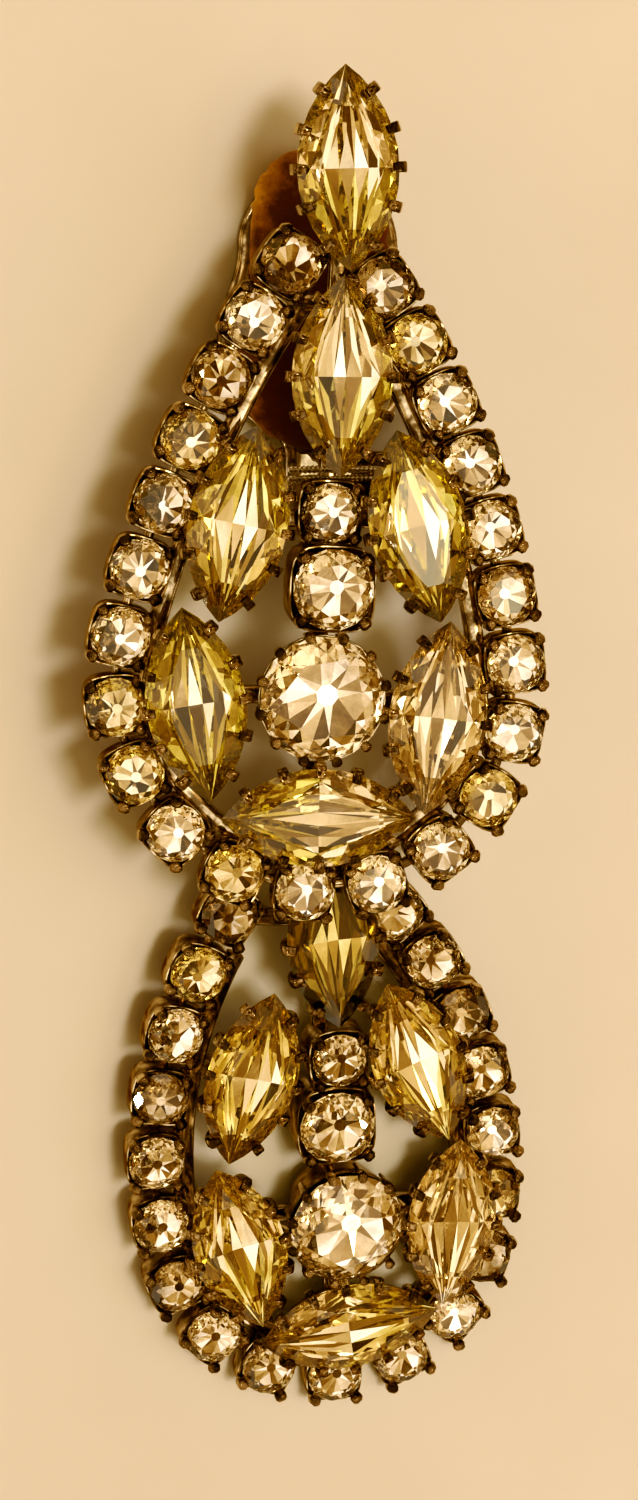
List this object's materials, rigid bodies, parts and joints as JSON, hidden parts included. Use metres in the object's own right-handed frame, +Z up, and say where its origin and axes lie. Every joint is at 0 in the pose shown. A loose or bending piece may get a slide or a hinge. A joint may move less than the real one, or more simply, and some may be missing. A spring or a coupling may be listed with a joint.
{
  "type": "clip-on drop earring",
  "caption": "Clip-on drop earring with two openwork teardrop sections of pointed and round rhinestones, lying face up on its clip.",
  "frame": {"origin": "Centre of the base of the bounding box, on the surface that the earring lies on.", "axes": "+Y towards the top of the earring, +X to its right as seen from the front, +Z up, out of the stones' faces."},
  "size_m": [0.0246, 0.0724, 0.0137],
  "materials": {
    "metal": "antiqued gold plate, dark in the recesses",
    "pin_metal": "plain drawn wire",
    "clear_stone": "faceted, foil-backed, clear with a champagne cast",
    "yellow_stone": "faceted, foil-backed, pale olive yellow",
    "pad": "amber brown, slightly cracked"
  },
  "bodies": {
    "earring": {"upper_frame": "metal", "lower_frame": "metal", "jump_ring": "metal", "upper_ring_stones": "clear_stone", "lower_ring_stones": "clear_stone", "upper_navette_top": "yellow_stone", "upper_navette_middle": "yellow_stone", "upper_navette_high_left": "yellow_stone", "upper_navette_high_right": "yellow_stone", "upper_navette_low_left": "yellow_stone", "upper_navette_low_right": "yellow_stone", "upper_navette_bottom": "yellow_stone", "upper_round_small": "clear_stone", "upper_round_medium": "clear_stone", "upper_round_large": "clear_stone", "lower_navette_top": "yellow_stone", "lower_navette_high_left": "yellow_stone", "lower_navette_high_right": "yellow_stone", "lower_navette_low_left": "yellow_stone", "lower_navette_low_right": "yellow_stone", "lower_navette_bottom": "yellow_stone", "lower_round_small": "clear_stone", "lower_round_medium": "clear_stone", "lower_round_large": "clear_stone", "hinge_pin": "pin_metal"},
    "clip": {"clip_lever": "metal", "clip_pad": "pad"}
  },
  "joints": [
    {"name": "clip_hinge", "type": "hinge", "parent": "earring", "child": "clip", "pos_m": [0.00104, 0.01524, 0.0056], "axis": [-1, 0, 0], "range_deg": [0, 90]}
  ]
}
